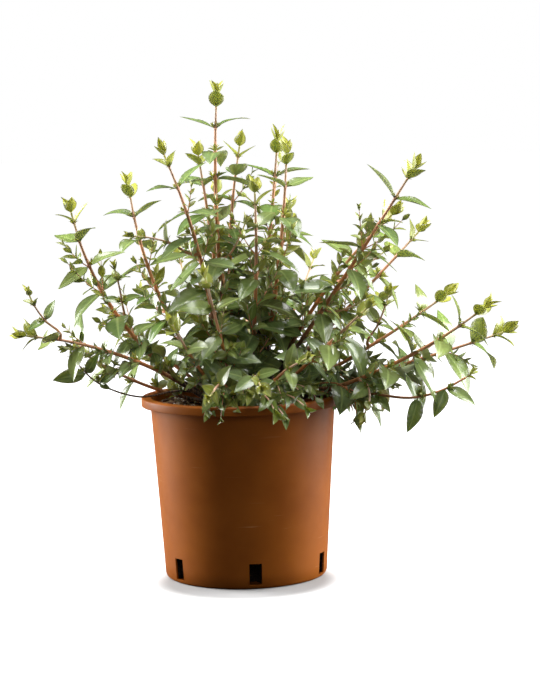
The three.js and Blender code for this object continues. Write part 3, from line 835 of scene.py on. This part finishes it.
def over_bare_soil(points):
    """1 at points that stand in front of the bare soil on the pot's left, 0 away from there."""
    x, y, z = points[..., 0], points[..., 1], points[..., 2]
    left = ease(-x, 36 * MM, 48 * MM) * (1 - ease(-x, 98 * MM, 108 * MM))
    return left * (1 - ease(z, 196 * MM, 214 * MM)) * (1 - ease(y, 20 * MM, 60 * MM))


def own_leaves(stem, vigour, dice):
    """A stem's own pairs of leaves, where the CAD has them. The two pairs at the tip are round,
    cupped and yellow-green, and the pairs below them are longer and darker, sag and turn to the
    light. Over the bare soil they are shorter and stand up, and at the low right they are
    longer."""
    order, count = stem.order, len(stem.order)
    x, z = stem.base[:, 0], stem.base[:, 2]
    age = np.interp(order, [0, 1, 2, 3, 5], [0.06, 0.18, 0.68, 0.8, 0.95])
    age = age + dice.uniform(-0.1, 0.1, count)
    # the height term is painted shade: pairs of order 2 and up high on the shrub are aged, and so
    # painted darker, against the strong light from above
    age = age + 0.8 * (1 - vigour) + 0.25 * (order >= 2) * ease(z, 290 * MM, 350 * MM)
    share = np.interp(order, [0, 1, 2], [0.72, 0.6, 0.48]) * dice.uniform(0.88, 1.1, count)
    length = stem.length * vigour * np.interp(order, [0, 1, 2, 3], [0.95, 1.0, 1.38, 1.36])
    sag = np.where(order >= 3, dice.uniform(0, 0.5, count), 0)[:, None]
    low_right = ease(-z, -240 * MM, -210 * MM) * ease(x, 60 * MM, 100 * MM)
    length = length * (1 + 0.2 * low_right)
    way = unit(stem.way - sag * UP)
    bare = over_bare_soil(stem.base + 0.7 * length[:, None] * way)
    way, length = unit(way + 1.3 * bare[:, None] * UP), length * (1 - 0.35 * bare)
    shaded = 1 - 0.75 * ease(z, 270 * MM, 330 * MM)
    turned_to = np.where(order >= 2, dice.uniform(-0.2, 1.1, count) * shaded, 0)[:, None]
    return leaf(
        stem.base,
        way,
        square_to(stem.face + turned_to * DAYLIGHT, way),
        length,
        width=length * share,
        arch=np.where(order == 0, -0.5, dice.uniform(0.1, 0.9, count)),
        fold=np.where(order == 0, 0.45, dice.uniform(0.1, 0.45, count)),
        age=np.clip(age, 0, 1),
        tone=random_tone(dice, count),
    )


def axil_shoots(stem, way, ahead, dice):
    """In the axil of each leaf under the tip pair a tuft of young leaves breaks. Lower down most
    of the tufts have grown into sprigs, which hang outwards near the rim. Way is each leaf's own,
    ahead the stem's. Returns the leaves and the twigs."""
    below = stem.order >= 1
    rank, way, ahead = stem.order[below], way[below], ahead[below]
    axil = unit(0.55 * way + 0.85 * ahead)
    seat = stem.base[below] + 1.2 * MM * square_to(way, ahead)
    x, z = seat[:, 0], seat[:, 2]
    chance = np.interp(z / MM, [230, 340], [0.85, 0.2]) * (1 - 0.6 * ease(x, 80 * MM, 120 * MM))
    chance = chance * (1 - over_bare_soil(seat))
    grown = (rank >= 3) & (dice.uniform(size=len(rank)) < chance)
    small = ~grown
    size = np.interp(rank, [1, 2, 3, 5], [4.5, 6.5, 8.5, 12]) * MM
    size = size * dice.uniform(0.75, 1.2, len(rank))
    years = dice.uniform(0.02, 0.26, len(rank))
    tuft_paths, tufts = sprays(
        dice,
        seat[small],
        axil[small],
        reach=0.4 * size[small],
        pairs=3,
        size=size[small],
        age=years[small],
        width=0.42,
    )
    reach = dice.uniform(14, 38, len(rank)) * MM
    hangs = ease(-z, -235 * MM, -190 * MM) * ease(np.hypot(x, seat[:, 1]), 25 * MM, 50 * MM)
    axil = unit(axil + 0.9 * hangs[:, None] * unit(seat * [1, 1, 0]))
    rise, years = 0.3 - 0.8 * hangs, 1.6 * years + 0.08 + 0.35 * hangs
    sprig_paths, sprigs = sprays(
        dice,
        seat[grown],
        axil[grown],
        reach=reach[grown],
        pairs=4,
        size=1.7 * size[grown],
        age=years[grown],
        spread=1.15,
        rise=rise[grown],
    )
    return [tufts, sprigs], [(tuft_paths, 0.55 * MM), (sprig_paths, 0.6 * MM)]


def foliage(stem, dice):
    """What a stem carries: its own leaves, a bud of folded leaves at its tip, and the tufts and
    sprigs in its axils. Returns the own leaves, the groups of young ones and the twigs."""
    slopes = unit(np.gradient(stem.knots, along_chords(stem.knots), axis=0))
    vigour = np.interp(stem.order.max(), [3, 7], [0.72, 1.0])
    own = own_leaves(stem, vigour, dice)
    bud_path, bud = sprays(
        dice,
        stem.knots[-1:],
        slopes[-1:],
        reach=np.array([2 * MM]),
        pairs=2,
        size=np.array([17 * MM * vigour]),
        age=np.array([0.02]),
        spread=0.42,
        width=0.42,
        fold=0.5,
        arch=0.3,
    )
    ahead = slopes[len(stem.knots) - 1 - stem.order]
    young, twigs = axil_shoots(stem, own["way"], ahead, dice)
    return own, [bud, *young], [(bud_path, 0.7 * MM), *twigs]


TUBE_SIZES = {  # radius at the tip, what a long stem gains on it, and over how far, in mm
    "cane": (0.8, 1.35, 90),
    "shoot": (0.65, 0.7, 50),
}


def bark(stem):
    """A stem's own tube: its radius shrinks to the tip by an exponential, swells at the knots
    where leaves sit, and flares at the foot. Its bark is older away from the tip and close to
    the crown."""
    at = along_chords(stem.knots)
    thin, gain, fade = TUBE_SIZES[stem.node.split("_")[0]]
    near = (at[2:, None] + np.array([-2.4, -1.2, 0, 1.2, 2.4]) * MM).ravel()
    places = np.concatenate([np.arange(0, at[-1], 6 * MM), near, at[-1:]])
    places = np.unique(places.clip(0, at[-1]))
    left = at[-1] - places
    radius = (thin + gain * (1 - np.exp(-left / (fade * MM)))) * MM
    bumps = np.exp(-(((places[:, None] - at[2:]) / (1.5 * MM)) ** 2)).sum(1)
    radius = radius * (1 + 0.28 * bumps) * (1 + 0.8 * np.exp(-places / (6 * MM)))
    path = smooth_path(stem.knots, places)
    close = ease(-np.linalg.norm(path - [0, 0, SOIL_TOP], axis=1), -115 * MM, -35 * MM)
    years = np.clip(left / (270 * MM) + 0.5 * close, 0, 1)
    return tube(path[None], radius[None], 8, years[None])


def twig_tubes(twigs):
    """Tubes for the centrelines that sprays gives, thinning to the tip. Twigs are (paths, radius)."""
    tubes = []
    for paths, radius in twigs:
        if len(paths):
            rows = paths.shape[1]
            radii = np.broadcast_to(radius * np.linspace(1, 0.6, rows), paths.shape[:2])
            ages = np.broadcast_to(np.linspace(0.3, 0.05, rows), paths.shape[:2])
            tubes.append(tube(paths, radii, 5, ages))
    return tubes


def shrub(wood, wax):
    """Every stem with its foliage, one piece for each CAD node. Each stem has dice of its own."""
    for number, stem in enumerate(stems()):
        dice = np.random.default_rng(100 + number)
        own, young, twigs = foliage(stem, dice)
        leaves = [blades(own, WHOLE_LEAF, dice)]
        leaves += [blades(group, YOUNG_LEAF, dice) for group in young if len(group["length"])]
        parts = [(*joined([bark(stem), *twig_tubes(twigs)]), wood), (*joined(leaves), wax)]
        piece(stem.node + "_grown", parts, [stem.node], CARRIED, sharp=75)


# ---------------------------------------------------------------- low shoots
def skirt(dice):
    """Low leafy shoots that spring from the crown all round, arch over the pot's rim and hang
    their leaves outside it. A gap is left where the soil shows, and those at the right end of
    the rim stay short."""
    places = 42
    angle = np.linspace(-np.pi, np.pi, places, endpoint=False) + dice.uniform(-0.08, 0.08, places)
    angle = angle[(angle > -2.05) & (angle < 2.3)]  # the soil shows between these two
    count = len(angle)
    out = np.stack([np.cos(angle), np.sin(angle), np.zeros(count)], -1)
    way = unit(out + dice.uniform(0.45, 0.85, (count, 1)) * UP)
    short = ease(angle, -0.85, -0.6) * (1 - ease(angle, 0.1, 0.3))
    return sprays(
        dice,
        20 * MM * out + [0, 0, SOIL_TOP + 8 * MM],
        way,
        reach=dice.uniform(78, 124, count) * (1 - 0.45 * short) * MM,
        pairs=6,
        size=dice.uniform(22, 30, count) * (1 - 0.3 * short) * MM,
        age=dice.uniform(0.35, 0.9, count),
        spread=1.2,
        width=0.44,
        arch=0.8,
        rise=dice.uniform(-0.55, -0.3, count) * (1 - short),
        taper=0.25,
        sag=0.45,
    )


TRAILS = {  # knots in mm; each leaf's share of the path, its way and its length in mm
    "left_runner": dict(
        foot_radius=1.1,
        end_age=0.7,
        knots=(
            (-18, -8, 168),
            (-58, -20, 177),
            (-96, -25, 173),
            (-118, -25, 179),
            (-138, -25, 190),
            (-150, -25, 203),
        ),
        carried=(
            (0.82, (8, -2, 5), 28),
            (0.82, (8, -3, -4), 13),
            (0.94, (-10, -1, -2), 33),
            (0.94, (5, -2, 9), 25),
        ),
    ),
    "right_runner": dict(
        foot_radius=1.7,
        end_age=0.3,
        knots=(
            (18, -10, 168),
            (58, -22, 176),
            (96, -31, 177),
            (128, -35, 171),
            (158, -36, 168),
            (184, -36, 174),
            (206, -35, 185),
        ),
        carried=(
            (0.56, (-6, -2, 7), 22),
            (0.56, (6, -2, -7), 24),
            (0.76, (-1, -2, 10), 29),
            (0.76, (-3, -2, -10), 35),
            (0.88, (-4, -2, -9), 30),
            (0.88, (9, -2, -5), 32),
        ),
    ),
    "hanging_sprig": dict(
        foot_radius=0.9,
        end_age=0.3,
        knots=((18, -14, 168), (60, -30, 181), (92, -38, 181), (103, -40, 170), (105, -41, 155)),
        carried=((0.86, (-9, -2, -4), 16), (0.87, (10, -2, -2), 17), (1.0, (1, -2, -10), 16)),
    ),
}


def trail(dice, foot_radius, end_age, knots, carried):
    """One shoot along a smooth curve through knots, thinning to its end, with its leaves, a tuft
    of young ones in each axil and a bud at its end. Returns its tubes and its leaves."""
    knots, rows = np.array(knots) * MM, 30
    path = smooth_path(knots, np.linspace(0, along_chords(knots)[-1], rows))
    shares, ways, sizes = zip(*carried)
    count, at = len(carried), np.round(np.array(shares) * (rows - 1)).astype(int)
    way = unit(np.array(ways) + dice.uniform(-0.6, 0.6, (count, 3)))
    size = np.array(sizes) * MM
    face = square_to(np.array([0.2, -0.8, 0.6]) + dice.uniform(-0.4, 0.4, (count, 3)), way)
    looks = dict(width=0.44 * size, arch=0.6, fold=0.3)
    looks |= dict(age=dice.uniform(0.8, 1.0, count), tone=dice.uniform(-0.9, 0.7, count))
    own = leaf(path[at], way, face, size, **looks)
    ahead = unit(np.gradient(path, axis=0))
    axil, young = unit(0.6 * way + 0.8 * ahead[at] + 0.3 * UP), 9 * MM * np.ones(count)
    tuft_paths, tufts = sprays(
        dice, path[at], axil, reach=0.4 * young, pairs=3, size=young, age=0.2 * looks["age"]
    )
    bud_paths, bud = sprays(
        dice,
        path[-1:],
        ahead[-1:],
        reach=np.array([7 * MM]),
        pairs=3,
        size=np.array([13 * MM]),
        age=np.array([0.15]),
    )
    radii = np.linspace(foot_radius, 0.6 * foot_radius, rows) * MM
    stem = tube(path[None], radii[None], 8, np.linspace(0.95, end_age, rows)[None])
    return [stem, *twig_tubes([(bud_paths, 0.6 * MM), (tuft_paths, 0.5 * MM)])], [own, bud, tufts]


def low_shoots(wood, wax):
    """The skirt and the trailing shoots as one piece."""
    dice = np.random.default_rng(11)
    paths, leaves = skirt(dice)
    stalks, groups = twig_tubes([(paths, 1.1 * MM)]), [leaves]
    for shoot in TRAILS.values():
        more_stalks, more_groups = trail(dice, **shoot)
        stalks, groups = stalks + more_stalks, groups + more_groups
    blade_parts = [blades(group, WHOLE_LEAF, dice) for group in groups]
    parts = [(*joined(stalks), wood), (*joined(blade_parts), wax)]
    piece("low_shoots", parts, carried=CARRIED, sharp=75)


# ---------------------------------------------------------------- studio
def aim(made, place, target, roll=0.0):
    """Puts an object at place, looking at target, rolled about its line of sight."""
    looking = (Vector(target) - Vector(place)).to_track_quat("-Z", "Y").to_matrix()
    made.rotation_euler = (looking @ Matrix.Rotation(roll, 3, "Z")).to_euler()
    made.location = place
    bpy.context.scene.collection.objects.link(made)
    return made


CAMERA_PLACE = Vector((0.027, -1.950, 0.416))
CAMERA_PITCH, CAMERA_ROLL = math.radians(-5.65), math.radians(-1.25)
LENS, SENSOR = 111.47, 36  # both in mm, as Blender has them


def camera():
    """A long lens a little above the plant, looking slightly down."""
    lens = bpy.data.cameras.new("camera")
    lens.lens, lens.sensor_width = LENS, SENSOR
    target = CAMERA_PLACE + Vector((0, math.cos(CAMERA_PITCH), math.sin(CAMERA_PITCH)))
    made = aim(bpy.data.objects.new("camera", lens), CAMERA_PLACE, target, CAMERA_ROLL)
    bpy.context.scene.camera = made


LIGHTS = {  # place, target, width and height in metres, watts
    "left_box": ((-1.35, 0.5, 0.65), (0, 0, 0.2), 0.7, 1.5, 58),
    "right_box": ((1.38, 0.08, 0.65), (0, 0, 0.2), 0.7, 1.5, 26),
    "right_rim": ((1.2, 0.6, 0.6), (0, 0, 0.2), 0.5, 1.4, 26),
    "top_box": ((0.1, 0.3, 1.9), (0, 0, 0.3), 1.4, 0.9, 46),
    "high_front": ((-0.2, -0.75, 2.1), (0, 0, 0.3), 0.6, 0.6, 12),
    "front_fill": ((0.3, -2.3, 1.4), (0, 0, 0.25), 1.6, 1.0, 6),
}


def studio():
    """Soft boxes at both sides, from above and, faintly, from the front, in a room that the
    camera sees as white and that gives off hardly any light."""
    for name, (place, target, width, height, watts) in LIGHTS.items():
        box = bpy.data.lights.new(name, "AREA")
        box.shape, box.size, box.size_y, box.energy = "RECTANGLE", width, height, watts
        aim(bpy.data.objects.new(name, box), place, target)
    world = bpy.data.worlds.new("white_room")
    bpy.context.scene.world = world
    world.use_nodes = True
    tree = world.node_tree
    seen = add(tree, "LightPath", out="Is Camera Ray")
    strength = add(tree, "MapRange", {"Value": seen, "To Min": 0.03, "To Max": 1.0})
    sky = tree.nodes["Background"]
    sky.inputs["Color"].default_value = linear("#ffffff")
    tree.links.new(strength, sky.inputs["Strength"])
    bpy.context.scene.view_settings.view_transform = "Standard"


FLOOR_REACH = 30  # from the pot to each edge
CLEAR_MIDDLE, CLEAR_RADIUS, GLOW_RADIUS = (0, -0.035, 0), 0.07, 0.098  # where it starts to glow


def paper_floor():
    """White paper, flagged off so that little of its light reaches the pot. Near the pot it only
    catches light and shadow. Further off it glows as the camera sees it, so that it runs into
    the white room without an edge."""
    made, tree = start_finish("white_paper", Roughness=0.9)
    shader = tree.nodes["Principled BSDF"]
    seen = add(tree, "LightPath", out="Is Camera Ray")
    colour = add(tree, "Mix", {0: seen, 6: "#2c2c2c", 7: "#b4b4b4"}, out=2, data_type="RGBA")
    place = add(tree, "TexCoord", out="Object")
    ends = {0: place, 1: CLEAR_MIDDLE}
    distance = add(tree, "VectorMath", ends, out="Value", operation="DISTANCE")
    band = {"Value": distance, "From Min": CLEAR_RADIUS, "From Max": GLOW_RADIUS}
    far = add(tree, "MapRange", band, interpolation_type="SMOOTHSTEP")
    glow = add(tree, "Math", {0: far, 1: seen}, operation="MULTIPLY")
    shader.inputs["Emission Color"].default_value = linear("#ffffff")
    tree.links.new(colour, shader.inputs["Base Color"])
    tree.links.new(glow, shader.inputs["Emission Strength"])
    mesh = bpy.data.meshes.new("paper_floor")
    corners = [(x * FLOOR_REACH, y * FLOOR_REACH, 0) for x, y in ((-1, -1), (1, -1), (1, 1), (-1, 1))]
    mesh.from_pydata(corners, [], [(0, 1, 2, 3)])
    mesh.materials.append(made)
    floor = bpy.data.objects.new("paper_floor", mesh)
    bpy.context.scene.collection.objects.link(floor)


pot()
soil()
strewn()
crown()
bark_finish, leaf_finish = young_bark(), waxy_leaf()
shrub(bark_finish, leaf_finish)
low_shoots(bark_finish, leaf_finish)
camera()
studio()
paper_floor()
